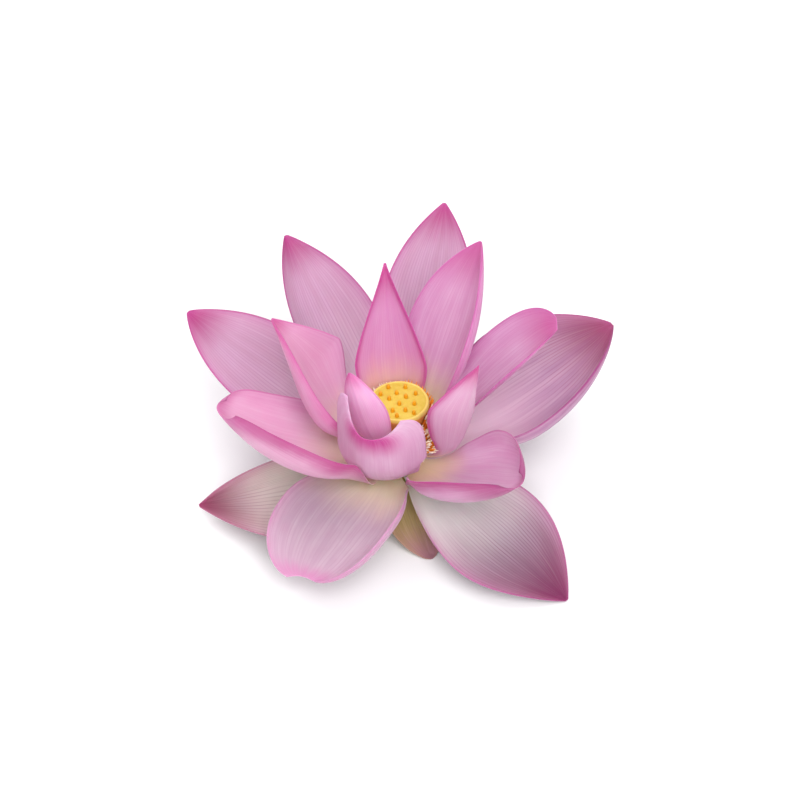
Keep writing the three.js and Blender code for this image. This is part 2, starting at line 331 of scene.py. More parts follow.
@dataclass(frozen=True)
class PetalFinish:
    """Colours and pattern of one kind of petal, from its root to its tip.

    A pair holds the blade's counter-clockwise side first, as seen from above. Shares of the length run from
    0 at the root to 1 at the tip, and distances from the margin are in millimetres.
    """

    name: str
    # the pale base colour; on several petals it is lightened as painted light against the shade near the
    # heart
    root: str
    body: str
    pale: str
    edge: str
    tip: str
    vein: str
    # reach of the root colour, on several petals stretched to carry painted light up the shaded lower part
    root_reach: float = 0.3
    line_mm: float = 1.1
    line: float = 0.55
    band_mm: float = 5.0
    band: Pair = (0.3, 0.3)
    outer_band: Pair = (0.5, 0.5)
    band_from: float = 0.3
    tip_from: float = 0.84
    tip_strength: float = 0.8
    outer_tip_from: float = 0.84
    tip_half_width: float = 1.4
    vein_strength: float = 0.3
    vein_from: float = 0.15
    veins: float = 14.0
    outer_tone: float = 1.0
    glow: float = 0.8

    OUTER_ROOT = 0.8  # share of the root's reach on the outer face
    OUTER_VEIN = 1.2  # strength of the veins there
    STREAK = 0.07  # strength of the white streaks
    RELIEF_MM = 0.12

    def dress(self, face: Face) -> bpy.types.Material:
        """Makes the material of one face.

        Args:
            face: The inner or the outer face.

        Returns:
            The material, which follows the blade from root to tip.
        """
        recipe = Recipe(f"{self.name}_{face.value}")
        outer = face is Face.OUTER
        blade = BladeField.of(recipe)
        vein = self._veins(blade)
        strength = self.vein_strength * (self.OUTER_VEIN if outer else 1.0)
        shade = self._ground(blade, self.root_reach * (self.OUTER_ROOT if outer else 1.0))
        shade = recipe.mix(vein * strength, shade, colour(self.vein))
        shade = self._margin(blade, shade, self.outer_band if outer else self.band)
        shade = self._tip(blade, shade, self.outer_tip_from if outer else self.tip_from)
        shade = recipe.mix(recipe.step(0.45, 0.8, blade.fine) * self.STREAK, shade, colour("ffffff"))
        if outer and self.outer_tone < 1.0:
            shade = recipe.mix(1.0 - self.outer_tone, shade, colour("000000"))
        height = blade.streak * 0.5 + blade.fine * 0.3 - vein * 0.2
        recipe.finish(
            shade,
            0.5 + blade.fine * 0.12,
            recipe.bump(height, self.RELIEF_MM, 0.6),
            Subsurface_Weight=self.glow,
            Subsurface_Radius=(1.0, 0.6, 0.75),
            Subsurface_Scale=0.0025,
            Specular_IOR_Level=0.3,
            Sheen_Weight=0.08,
            Sheen_Roughness=0.5,
        )
        return recipe.material

    def _ground(self, blade: BladeField, reach: float) -> Signal:
        """Streaks of the body's two shades over the root's colour: the petal's real pale base, lifted by
        painted light against the shade at the heart.

        Args:
            blade: The blade's field.
            reach: Share of the length at which the root's colour is fading.

        Returns:
            The colour.
        """
        recipe = blade.recipe
        blend = recipe.step(0.36, 0.66, blade.streak * 0.6 + blade.cloud * 0.4)
        shade = recipe.mix(blend, colour(self.body), colour(self.pale))
        height = blade.along + (blade.cloud - 0.5) * 0.16 + blade.side * blade.side * 0.08
        # the root colour's mask: real pale base and painted light that lifts the shade near the heart
        root_and_painted_light = 1.0 - recipe.step(reach * 0.2, reach * 1.4, height)
        return recipe.mix(root_and_painted_light, shade, colour(self.root))

    def _veins(self, blade: BladeField) -> Signal:
        """Fine lines from root to tip that wander a little and break up.

        Args:
            blade: The blade's field.

        Returns:
            The lines, from 0 to 1.
        """
        recipe = blade.recipe
        line = abs((blade.across * self.veins + (blade.wander - 0.5) * 1.2) % 1.0 - 0.5) * 2.0
        broken = recipe.step(0.3, 0.62, blade.streak * 0.5 + blade.fine * 0.5)
        grown = recipe.step(self.vein_from, self.vein_from + 0.4, blade.along)
        return recipe.step(0.55, 1.0, line) * broken * grown

    def _margin(self, blade: BladeField, shade: Signal, band: Pair) -> Signal:
        """Lays a ragged band along the margin and a thin line on its very edge.

        Args:
            blade: The blade's field.
            shade: The colour so far.
            band: Strength of the band on each side.

        Returns:
            The colour with its margin.
        """
        recipe = blade.recipe
        first, second = band
        strength = second + recipe.step(-0.05, 0.05, blade.across) * (first - second)
        ragged = blade.inset_mm + (blade.fine - 0.5) * 1.2 + (blade.cloud - 0.5) * (self.band_mm * 0.6)
        reached = recipe.step(0.0, self.band_from, blade.along)
        banded = (1.0 - recipe.step(0.0, self.band_mm, ragged)) * reached
        shade = recipe.mix(banded * strength, shade, colour(self.edge))
        lined = 1.0 - recipe.step(self.line_mm * 0.35, self.line_mm, blade.inset_mm)
        lined = lined * recipe.step(0.1, 0.45, blade.along)
        return recipe.mix(lined * self.line, shade, colour(self.edge))

    def _tip(self, blade: BladeField, shade: Signal, start: float) -> Signal:
        """Darkens the tip in streaks.

        Args:
            blade: The blade's field.
            shade: The colour so far.
            start: Share of the length at which the tip's colour begins.

        Returns:
            The colour with its tip.
        """
        recipe = blade.recipe
        height = blade.along + (blade.streak - 0.5) * 0.12 + (blade.fine - 0.5) * 0.05
        narrow = 1.0 - recipe.step(self.tip_half_width * 0.4, self.tip_half_width, blade.side)
        tipped = recipe.step(start, 1.0, height) * narrow
        return recipe.mix(tipped * self.tip_strength, shade, colour(self.tip))


@dataclass(frozen=True)
class PlantFinish:
    """A soft plant surface with two shades and a fine relief."""

    name: str
    dark: str
    light: str
    grain_mm: float = 1.2
    stretch: float = 1.0
    relief_mm: float = 0.12
    roughness: float = 0.5
    glow: float = 0.15

    def dress(self) -> bpy.types.Material:
        """Makes the material.

        Returns:
            The material, whose grain lies in the piece's own space.
        """
        recipe = Recipe(self.name)
        place = recipe.node("ShaderNodeTexCoord", output=3)
        size = 1.0 / (self.grain_mm * MM)
        sockets = {0: place, 3: (size, size, size / self.stretch)}
        scaled = recipe.node("ShaderNodeMapping", {"vector_type": "POINT"}, sockets)
        grain = recipe.noise(scaled, 1.0, 4.0, 0.6)
        broad = recipe.noise(scaled, 0.22)
        blend = recipe.step(0.32, 0.7, grain * 0.45 + broad * 0.55)
        recipe.finish(
            recipe.mix(blend, colour(self.dark), colour(self.light)),
            self.roughness + grain * 0.12,
            recipe.bump(grain, self.relief_mm, 0.8),
            Subsurface_Weight=self.glow,
            Subsurface_Radius=(1.0, 0.7, 0.4),
            Subsurface_Scale=0.0015,
        )
        return recipe.material


class Bloom:
    """The petal finishes of this flower."""

    INNER = PetalFinish(
        "petal_pink", root="e5d9aa", body="c08cb0", pale="c89dbb", edge="a84688", tip="a63d7f",
        vein="b46d9a", band=(0.5, 0.5), tip_from=0.7, tip_strength=0.85, vein_strength=0.36,
    )
    FOLDED = PetalFinish(
        "petal_pink_folded", root="f0dcc0", body="d199b8", pale="d5a4bf", edge="b94f8c", tip="a8367a",
        vein="c279a4", band=(0.2, 0.2), outer_band=(0.75, 0.3), tip_from=0.8,
    )
    STANDING = PetalFinish(
        "petal_pink_standing", root="e1bc94", body="c689b5", pale="c995b9", edge="ad4087", tip="aa3d7f",
        vein="b6699b", root_reach=0.36, line_mm=2.4, line=0.9, band_mm=4.5, band=(0.65, 0.65),
        tip_from=0.66, vein_strength=0.36,
    )
    HEART = PetalFinish(
        "petal_pink_heart", root="e7d5a1", body="c69bb6", pale="cba9bd", edge="ab3e81", tip="a43a77",
        vein="b87ca5", root_reach=0.26, line_mm=1.8, band_mm=3.5, outer_band=(0.1, 0.85),
        outer_tip_from=0.75,
    )
    TUCKED = PetalFinish(
        "petal_pink_tucked", root="f9e0b5", body="e9abd2", pale="edb8d8", edge="c05096", tip="b74487",
        vein="d68ab8", root_reach=0.2, line=0.5, band_mm=3.5, outer_band=(0.1, 0.8), outer_tip_from=0.78,
    )
    # The cupped petal's colours are partly its paler inner pink and partly painted light that lifts the
    # shade inside its cup; outer_tone darkens the outer face back to its own colour.
    CUPPED = PetalFinish(
        "petal_pink_cupped", root="e4c8b4", body="d3a1bd", pale="d7adc4", edge="a43a7a", tip="b1578c",
        vein="c583a6", root_reach=0.34, band_mm=9.0, outer_band=(0.95, 0.4), vein_strength=0.22,
        veins=15.0, outer_tone=0.84,
    )
    BOWL = PetalFinish(
        "petal_pink_bowl", root="dfc0a4", body="c192b2", pale="c4a0b9", edge="93306d", tip="93306d",
        vein="aa739b", root_reach=0.27, band_mm=10.0, outer_band=(0.6, 0.95), outer_tip_from=0.7,
        vein_strength=0.22, veins=15.0, outer_tone=0.88,
    )
    DIPPED = PetalFinish(
        "petal_pink_dipped", root="d9cc98", body="c396b3", pale="c8a1ba", edge="be79a8", tip="a52d7a",
        vein="b57ca2", root_reach=0.2, line=0.2, outer_band=(0.1, 0.1), tip_strength=0.95,
        outer_tip_from=0.76, tip_half_width=0.8, vein_strength=0.15,
    )
    # The lilac and veined petals' pale pink root is painted light that lifts the shade on their lower
    # parts.
    LILAC = PetalFinish(
        "petal_lilac", root="d5bfcb", body="ab889f", pale="b393ab", edge="8c2e6e", tip="8c2266",
        vein="8a4c7c", root_reach=0.5, line=0.85, band=(0.45, 0.45), tip_from=0.78, tip_strength=1.0,
        vein_strength=0.42, veins=15.0,
    )
    VEINED = PetalFinish(
        "petal_lilac_veined", root="dcbccd", body="9b7795", pale="b094a8", edge="84306a", tip="6c0a42",
        vein="782a62", root_reach=0.5, line=0.85, band=(0.45, 0.45), tip_from=0.6, tip_strength=0.95,
        vein_strength=0.5, vein_from=0.3, veins=17.0,
    )
    # The pale green, wine-tipped and rounded petals' roots are their real whitish or cream bases, made
    # lighter as painted light against the shade under the petals above.
    WASHED = PetalFinish(
        "petal_pale_green", root="ebe8e2", body="8c7283", pale="a08b9a", edge="8a3a70", tip="6c0a48",
        vein="6c2f58", root_reach=0.55, line=0.7, band=(0.35, 0.35), tip_from=0.52, tip_strength=1.0,
        vein_strength=0.65, vein_from=0.25, veins=17.0,
    )
    WINE = PetalFinish(
        "petal_wine_tip", root="cfd0be", body="a17c8a", pale="b096a0", edge="834360", tip="660a36",
        vein="6c3450", root_reach=0.78, tip_from=0.64, tip_strength=1.0, vein_strength=0.5, vein_from=0.3,
        veins=15.0,
    )
    ROUNDED = PetalFinish(
        "petal_pale_rounded", root="ead9ba", body="a88fa0", pale="b09ca9", edge="a8648e", tip="ab6b93",
        vein="937087", root_reach=0.42, line_mm=1.2, line=0.3, outer_band=(0.5, 0.3), tip_from=0.9,
        vein_strength=0.28,
    )
    SEPAL = PetalFinish(
        "sepal_olive", root="ae9c61", body="a6905d", pale="b69e6f", edge="98725d", tip="a0637f",
        vein="86744c", line=0.5, band=(0.2, 0.2), tip_from=0.45, vein_strength=0.45, vein_from=0.0,
        veins=6.0, glow=0.2,
    )


POD_FACE = PlantFinish("pod_flesh", "cdac38", "d4b84c", grain_mm=1.4, relief_mm=0.1, glow=0.25)
POD_RIM = PlantFinish("pod_rim", "dfbc54", "e6c96e", grain_mm=1.6, relief_mm=0.08, glow=0.25)
# The pod's side is a lighter orange than its face: painted light that lifts the shade between the pod and
# the petals.
POD_SIDE_PAINTED_LIGHT = PlantFinish("pod_side_painted_light", "e89a3c", "f2b060", grain_mm=1.4, relief_mm=0.1, glow=0.6)
PISTIL = PlantFinish("pistil_tips", "d68f02", "e29e08", grain_mm=0.6, relief_mm=0.08, roughness=0.4)
FILAMENT = PlantFinish("stamen_filaments", "eeb659", "f8d48a", grain_mm=0.8, stretch=4.0, relief_mm=0.05)
ANTHER = PlantFinish("stamen_anthers", "e07a1c", "f09a30", grain_mm=0.4, relief_mm=0.08, roughness=0.65)
APPENDAGE = PlantFinish("stamen_tips", "f6e0c0", "fdf3e2", grain_mm=0.6, relief_mm=0.04)
BASE_FLESH = PlantFinish("flower_base_flesh", "d6c27c", "ecdca6", grain_mm=2.2, stretch=2.0, relief_mm=0.15)
STALK_SKIN = PlantFinish("stalk_skin", "6f8c45", "93a862", grain_mm=0.9, stretch=6.0)
STALK_CUT = PlantFinish("stalk_cut", "c9cf9a", "e3e4c0", grain_mm=0.8, relief_mm=0.1)
PRICKLE = PlantFinish("stalk_prickles", "6d5b3c", "8f7c50", grain_mm=0.6, relief_mm=0.04)


# ----------------------------------------------------------------------- tools


def new_piece(
    name: str, bm: bmesh.types.BMesh, materials: Iterable[bpy.types.Material]
) -> bpy.types.Object:
    """Turns a finished bmesh into a smooth object at the origin.

    Args:
        name: The piece's name.
        bm: The mesh, in metres, which is freed.
        materials: Its materials in slot order.

    Returns:
        The object.
    """
    for face in bm.faces:
        face.smooth = True
    mesh = bpy.data.meshes.new(name)
    bm.to_mesh(mesh)
    bm.free()
    for material in materials:
        mesh.materials.append(material)
    piece = bpy.data.objects.new(name, mesh)
    bpy.context.scene.collection.objects.link(piece)
    return piece


def hand_over(piece: bpy.types.Object, slot: str, node: str | None = None) -> None:
    """Lets a piece ride on the flower and stand for a node.

    Args:
        piece: The finished piece.
        slot: Not used.
        node: The CAD node that the piece stands for, if it stands for one.
    """
    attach(piece, BODY)
    if node:
        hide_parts(node)
    LOG.info("%s: %d faces", piece.name, len(piece.data.polygons))


def sweep(
    bm: bmesh.types.BMesh,
    rows: int,
    sides: int,
    centre: Callable[[float], Station],
    radius: Callable[[float], float],
    slot_of: Callable[[float], int],
) -> None:
    """Adds a tube that follows a path, from a grid that is rolled up.

    Args:
        bm: The mesh to add to, in millimetres.
        rows: Steps along the path.
        sides: Sides of the section.
        centre: Point and the two directions of the section at a share of the path.
        radius: Radius at a share of the path.
        slot_of: Material slot at a share of the path.
    """
    made = bmesh.ops.create_grid(bm, x_segments=rows, y_segments=sides, size=1.0)
    share = {vert: (vert.co.x + 1.0) / 2.0 for vert in made["verts"]}
    faces = {face for vert in made["verts"] for face in vert.link_faces}
    for face in faces:
        face.material_index = slot_of(sum(share[vert] for vert in face.verts) / len(face.verts))
    for vert in made["verts"]:
        turn = math.pi * (vert.co.y + 1.0)
        point, first, second = centre(share[vert])
        reach = radius(share[vert])
        vert.co = point + (first * math.cos(turn) + second * math.sin(turn)) * reach


def spun(bm: bmesh.types.BMesh, profile: Sequence[Pair], steps: int) -> None:
    """Turns a profile of (radius, height) points about +Z into a closed skin.

    Args:
        bm: The empty mesh to fill, in millimetres.
        profile: Points from the bottom of the axis to the top of the axis.
        steps: Steps of the full turn.
    """
    verts = [bm.verts.new((radius, 0.0, height)) for radius, height in profile]
    edges = [bm.edges.new(pair) for pair in zip(verts, verts[1:])]
    bmesh.ops.spin(
        bm, geom=verts + edges, cent=(0, 0, 0), axis=(0, 0, 1), angle=math.tau, steps=steps, use_merge=True
    )
    bmesh.ops.remove_doubles(bm, verts=bm.verts, dist=1e-4)
    bmesh.ops.recalc_face_normals(bm, faces=bm.faces)


def rounded_steps(points: Sequence[Pair], pieces: int) -> list[Pair]:
    """Smooth curve through points.

    Args:
        points: Points to pass through.
        pieces: Steps between each two points.

    Returns:
        The curve's points, as a Catmull-Rom spline gives them.
    """
    padded = [points[0], *points, points[-1]]
    curve = []
    for a, b, c, d in zip(padded, padded[1:], padded[2:], padded[3:]):
        for k in range(pieces):
            t = k / pieces
            curve.append(tuple(
                0.5 * (2 * b[i] + (c[i] - a[i]) * t + (2 * a[i] - 5 * b[i] + 4 * c[i] - d[i]) * t * t
                       + (3 * b[i] - a[i] - 3 * c[i] + d[i]) * t ** 3)
                for i in (0, 1)
            ))
    curve.append(tuple(points[-1]))
    return curve


def bell(away: float, width: float) -> float:
    """Rounded peak of height 1 at a distance of 0."""
    return math.exp(-((away / width) ** 2))


# ---------------------------------------------------------------------- petals


@dataclass
class Blade:
    """One petal or sepal. A pair holds the counter-clockwise side first, as seen from above."""

    name: str
    azimuth: float
    height: float = 15.0
    rise: float = 30.0
    bend: float = 0.0
    knee: float = 1.0
    hook: float = 0.0
    sway: float = 0.0
    roll: float = 0.0
    twist: float = 0.0
    length: float = 100.0
    width: float = 45.0
    wide: Pair = (1.0, 1.0)
    belly: Pair = (0.5, 0.5)
    claw: float = 0.2
    shoulder: float = 1.0
    taper: float = 2.0
    point: float = 0.9
    blunt: float = 0.03
    notch: float = 0.0
    dip: Pair = (0.0, 0.0)
    clasp: float = 0.0
    cup: Pair = (45.0, 45.0)
    curl: Pair = (0.0, 0.0)
    finish: PetalFinish = Bloom.LILAC
    slot: str = "petal_outer"
    wave: float = 0.35
    phase: float = 0.0
    thickness: float = PETAL_THICKNESS
    rows: int = 72
    columns: int = 44

    ROOT_SINK = 1.2  # how far the root reaches into the flower base
    RIB = 0.015  # height of the soft ribs along the veins
    GROOVE = 0.15  # depth of the groove along the midrib
    GROOVE_WIDTH = 0.06  # share of the half width
    SWELL = 0.35  # height of the broad swells
    THIN_EDGE = 0.4  # share of the thickness left at the margin

    def half_width(self, u: float, side: int) -> float:
        """Half the width of one side.

        Args:
            u: Share of the length.
            side: 0 for the counter-clockwise side, 1 for the other.

        Returns:
            The half width, in millimetres.
        """
        belly = self.belly[side]
        full = self.width / 2.0 * self.wide[side]
        if u < belly:
            swell = math.sin(u / belly * math.pi / 2.0) ** self.shoulder
            return full * (self.claw + (1.0 - self.claw) * swell)
        past = (u - belly) / (1.0 - belly)
        narrowing = max(0.0, 1.0 - past**self.taper) ** self.point
        return full * (self.blunt + (1.0 - self.blunt) * narrowing)

    def directions(self, t: float) -> Station:
        """Directions along, across and square to the blade.

        Args:
            t: Share of the midrib's length.

        Returns:
            The three directions, the last towards the inner face.
        """
        azimuth = math.radians(self.azimuth)
        outward = Vector((math.cos(azimuth), math.sin(azimuth), 0.0))
        around = Vector((-math.sin(azimuth), math.cos(azimuth), 0.0))
        hooked = max(0.0, (t - HOOK_START) / (1.0 - HOOK_START)) ** 2
        climb = math.radians(self.rise + self.bend * min(1.0, t / self.knee) + self.hook * hooked)
        sway = math.radians(self.sway * t)
        level = outward * math.cos(sway) + around * math.sin(sway)
        across = around * math.cos(sway) - outward * math.sin(sway)
        along = level * math.cos(climb) + Vector((0.0, 0.0, math.sin(climb)))
        across = Matrix.Rotation(math.radians(self.roll + self.twist * t), 3, along) @ across
        return along, across, along.cross(across)

    def midrib(self) -> list[Station]:
        """Walks along the midrib.

        Returns:
            The stations, each with its point and the directions across and to the inner face.
        """
        azimuth = math.radians(self.azimuth)
        radius = ROOT_RADIUS + ROOT_FLARE * (self.height - ROOT_HEIGHT)
        point = Vector((radius * math.cos(azimuth), radius * math.sin(azimuth), self.height))
        stations = []
        for i in range(MIDRIB_STEPS + 1):
            _, across, inward = self.directions(i / MIDRIB_STEPS)
            stations.append((point.copy(), across, inward))
            point += self.directions((i + 0.5) / MIDRIB_STEPS)[0] * (self.length / MIDRIB_STEPS)
        return stations

    def relief(self, u: float, v: float) -> float:
        """Lift of the surface: a wavy margin, ribs along the veins, a midrib groove and broad swells.

        Args:
            u: Share of the length.
            v: Place across the blade, from -1 to 1.

        Returns:
            The lift towards the inner face, in millimetres.
        """
        turn = 1.7 * u + self.phase + (0.37 if v > 0 else 0.0)
        margin = self.wave * abs(v) ** 4 * math.sin(math.tau * turn)
        ribs = self.RIB * math.cos(self.finish.veins * math.tau * v)
        groove = self.GROOVE * bell(v, self.GROOVE_WIDTH)
        swell = self.SWELL * noise.noise(Vector((u * 2.4, v * 1.6, self.phase * 10.0)))
        fade = smoothstep(0.02, 0.3, u) * smoothstep(0.0, 0.12, 1.0 - u)
        return fade * (margin + ribs - groove + swell)

    def surface(self, stations: list[Station], u: float, v: float) -> Vector:
        """Point of the middle surface.

        Args:
            stations: The midrib.
            u: Share of the length.
            v: Place across the blade, from -1 to 1.

        Returns:
            The point, in millimetres.
        """
        side = 0 if v >= 0.0 else 1
        share = abs(v)
        reach = u * (1.0 - self.notch * (1.0 - v * v) - self.dip[side] * v * v)
        place = min(reach, 1.0) * MIDRIB_STEPS
        first = min(int(place), MIDRIB_STEPS - 1)
        between = place - first
        centre, across, inward = (a.lerp(b, between) for a, b in zip(stations[first], stations[first + 1]))
        opened = self.clasp + (1.0 - self.clasp) * smoothstep(0.0, OPENING, u)
        sideways = 0.0
        upwards = 0.0
        for k in range(CUP_STEPS):
            s = (k + 0.5) / CUP_STEPS * share
            turn = math.radians(self.cup[side] * s + self.curl[side] * s**5) * opened
            sideways += math.cos(turn) / CUP_STEPS
            upwards += math.sin(turn) / CUP_STEPS
        half = share * self.half_width(u, side)
        point = centre + across * math.copysign(sideways * half, v)
        point += inward * (upwards * half + self.relief(u, v))
        if u == 0.0:
            point -= self.directions(0.0)[0] * self.ROOT_SINK
        return point

    def build(self) -> bpy.types.Object:
        """Makes the blade as a thin shell that thins out towards its margin.

        Returns:
            The piece.
        """
        bm = bmesh.new()
        bmesh.ops.create_grid(bm, x_segments=self.rows, y_segments=self.columns, size=1.0)
        deform = bm.verts.layers.deform.verify()
        uv = bm.loops.layers.uv.new(BLADE_MAP)
        span = bm.verts.layers.float.new(HALF_WIDTH)
        stations = self.midrib()
        place = {}
        for vert in bm.verts:
            u = 1.0 - (1.0 - (vert.co.x + 1.0) / 2.0) ** TIP_CROWDING
            place[vert] = (min(1.0, max(0.0, u)), vert.co.y)
        for face in bm.faces:
            for loop in face.loops:
                u, v = place[loop.vert]
                loop[uv].uv = (u, (v + 1.0) / 2.0)
        for vert in bm.verts:
            u, v = place[vert]
            point = self.surface(stations, u, v)
            point.z = max(point.z, self.thickness / 2.0)
            vert.co = point * MM
            vert[deform][0] = (1.0 - abs(v) ** 3) * (1.0 - u**8)
            vert[span] = self.half_width(u, 0 if v >= 0.0 else 1)
        faces = (self.finish.dress(Face.INNER), self.finish.dress(Face.OUTER))
        piece = new_piece(f"{self.name}_blade", bm, faces)
        piece.vertex_groups.new(name="thickness")
        shell = piece.modifiers.new("thickness", "SOLIDIFY")
        shell.thickness = self.thickness * MM
        shell.offset = 0.0
        shell.vertex_group = "thickness"
        shell.thickness_vertex_group = self.THIN_EDGE
        shell.material_offset = 1
        shell.use_quality_normals = True
        return piece


def sepal(name: str, azimuth: float, **own: object) -> Blade:
    """Makes the blade of a sepal.

    Args:
        name: The sepal's name.
        azimuth: The direction it points in.
        **own: Sizes in which it differs from a common sepal.

    Returns:
        The blade.
    """
    sizes = {
        "height": 10.5, "rise": -10.0, "bend": -12.0, "length": 42.0, "width": 24.0, "claw": 0.3,
        "cup": (30.0, 30.0), "finish": Bloom.SEPAL, "slot": "sepal", "wave": 0.3,
        "thickness": SEPAL_THICKNESS, "rows": 40, "columns": 24,
    }
    return Blade(name, azimuth, **{**sizes, **own})


@dataclass
class Corolla:
    """All the petals and the sepals."""

    seed: int = 5

    def outer_layer(self) -> list[Blade]:
        """The seven outer petals."""
        return [
            Blade(
                "outer_petal_back_right", azimuth=56.0, height=12.3, rise=0.0, bend=-17.0, length=84.0,
                width=46.0, cup=(0.0, 25.0),
            ),
            Blade(
                "outer_petal_back_left", azimuth=101.0, height=13.8, rise=2.0, bend=-24.0, length=84.0,
                width=46.0, cup=(25.0, 25.0),
            ),
            Blade(
                "outer_petal_left", azimuth=195.0, height=13.6, rise=2.0, bend=-10.5, length=80.0,
                width=46.0, wide=(1.65, 0.55), taper=1.6, point=0.95, cup=(5.0, 35.0), finish=Bloom.WINE,
            ),
            Blade(
                "outer_petal_front", azimuth=242.0, height=15.5, rise=16.0, bend=-32.0, length=76.0,
                width=60.0, wide=(1.04, 0.93), belly=(0.55, 0.55), claw=0.19, taper=2.4, point=0.55,
                blunt=0.25, notch=0.045, dip=(0.03, 0.0), cup=(20.0, 20.0), curl=(110.0, 10.0),
                finish=Bloom.ROUNDED,
            ),
            Blade(
                "outer_petal_front_right", azimuth=315.0, height=14.2, rise=1.0, bend=-19.0, length=91.5,
                width=54.0, wide=(0.9, 1.06), belly=(0.5, 0.57), point=0.98, cup=(30.0, 12.0),
                finish=Bloom.WASHED,
            ),
            Blade(
                "outer_petal_back_left_long", azimuth=150.0, rise=19.0, bend=4.0, length=105.0,
                width=50.0, wide=(1.05, 0.97), point=0.85, cup=(15.0, 28.0),
            ),
            Blade(
                "outer_petal_right", azimuth=28.0, rise=17.0, bend=4.0, length=103.0, width=54.0,
                wide=(1.1, 1.6), belly=(0.55, 0.45), shoulder=1.4, point=0.88, cup=(40.0, 10.0),
                curl=(0.0, 115.0), finish=Bloom.VEINED,
            ),
        ]

    def middle_layer(self) -> list[Blade]:
        """The five middle petals."""
        return [
            Blade(
                "middle_petal_back", azimuth=78.0, height=18.5, rise=32.0, bend=6.0, length=107.5,
                width=43.0, wide=(0.95, 1.0), belly=(0.55, 0.55), point=0.97, cup=(30.0, 30.0),
            ),
            Blade(
                "middle_petal_back_left", azimuth=120.0, height=16.9, rise=24.0, bend=11.0, length=105.0,
                width=50.0, wide=(0.9, 0.93), point=0.92, cup=(60.0, 40.0),
            ),
            Blade(
                "middle_petal_left", azimuth=198.0, height=19.0, rise=8.0, bend=54.0, length=86.0,
                width=54.0, wide=(1.53, 1.0), belly=(0.52, 0.45), claw=0.22, shoulder=0.8, taper=2.2,
                point=0.6, blunt=0.3, dip=(0.0, 0.06), cup=(55.0, 55.0), curl=(60.0, 0.0),
                finish=Bloom.CUPPED, slot=INNER_SLOT,
            ),
            Blade(
                "middle_petal_front_right", azimuth=316.0, height=18.5, rise=-3.0, bend=57.0, length=68.0,
                width=54.0, wide=(1.12, 1.38), belly=(0.58, 0.5), claw=0.16, shoulder=1.25, taper=2.2,
                point=0.55, blunt=0.25, dip=(0.06, 0.05), cup=(76.0, 77.0), finish=Bloom.BOWL,
                slot=INNER_SLOT,
            ),
            Blade(
                "middle_petal_right", azimuth=15.5, height=19.8, rise=39.5, bend=15.4, sway=-16.9,
                roll=2.9, length=88.3, width=55.0, wide=(0.85, 0.24), belly=(0.65, 0.61), claw=0.19,
                shoulder=1.22, taper=2.14, point=0.59, blunt=0.2, notch=0.06, dip=(0.04, 0.13), clasp=0.6,
                cup=(37.0, 76.0), finish=Bloom.INNER, slot=INNER_SLOT,
            ),
        ]

    def inner_layer(self) -> list[Blade]:
        """The six inner petals."""
        return [
            Blade(
                "inner_petal_back_right", azimuth=50.0, height=22.2, rise=55.0, bend=14.0, length=91.0,
                width=46.0, wide=(0.93, 0.97), claw=0.22, clasp=0.7, cup=(35.0, 55.0), curl=(0.0, 90.0),
                finish=Bloom.INNER, slot=INNER_SLOT,
            ),
            Blade(
                "inner_petal_left", azimuth=168.4, height=21.5, rise=22.7, bend=47.7, knee=0.6, roll=-0.9,
                length=79.9, width=50.0, wide=(1.17, 1.21), belly=(0.4, 0.53), claw=0.16, shoulder=2.18,
                taper=1.21, point=1.01, clasp=0.6, cup=(61.6, 38.0), curl=(70.0, 0.0),
                finish=Bloom.FOLDED, slot=INNER_SLOT,
            ),
            Blade(
                "inner_petal_back", azimuth=100.0, height=25.0, rise=65.0, bend=18.0, length=76.0,
                width=36.0, wide=(1.04, 1.0), belly=(0.42, 0.36), claw=0.32, taper=1.3, point=1.2,
                clasp=0.8, cup=(55.0, 60.0), finish=Bloom.STANDING, slot=INNER_SLOT,
            ),
            Blade(
                "inner_petal_right", azimuth=327.7, height=23.0, rise=13.2, bend=65.2, knee=0.35,
                sway=-3.8, roll=-24.1, twist=-2.1, length=75.0, width=35.5, wide=(0.47, 0.92),
                belly=(0.51, 0.6), claw=0.13, shoulder=1.77, taper=1.23, point=1.2, clasp=0.8,
                cup=(49.0, 56.0), finish=Bloom.HEART, slot=INNER_SLOT,
            ),
            Blade(
                "inner_petal_front_left", azimuth=233.0, height=24.6, rise=71.0, bend=8.0, sway=-70.0,
                roll=20.0, twist=70.0, length=56.0, width=40.0, wide=(0.52, 0.6), belly=(0.52, 0.33),
                claw=0.25, clasp=0.8, cup=(45.0, 55.0), finish=Bloom.TUCKED, slot=INNER_SLOT,
            ),
            Blade(
                "inner_petal_front", azimuth=245.5, height=22.4, rise=-7.6, bend=96.5, knee=0.45,
                hook=-3.3, sway=-1.8, roll=2.2, length=70.9, width=56.3, wide=(0.99, 0.71), claw=0.22,
                shoulder=0.6, taper=2.92, point=0.3, blunt=0.58, notch=0.337, dip=(0.23, 0.11), clasp=0.3,
                cup=(69.4, 56.9), finish=Bloom.DIPPED, slot=INNER_SLOT,
            ),
        ]

    def sepals(self) -> list[Blade]:
        """The four sepals."""
        return [
            sepal("sepal_front", 282.0, rise=-8.0, bend=-15.0, sway=12.0, width=28.0),
            sepal("sepal_right", 12.0, cup=(20.0, 30.0)),
            sepal("sepal_back", 125.0),
            sepal("sepal_left", 205.0),
        ]

    def build(self) -> None:
        """Makes every blade and hands it over in place of its node."""
        draw = random.Random(self.seed)
        for blade in [*self.outer_layer(), *self.middle_layer(), *self.inner_layer(), *self.sepals()]:
            blade.phase = draw.random()
            hand_over(blade.build(), blade.slot, blade.name)


# -------------------------------------------------------------- heart and stalk


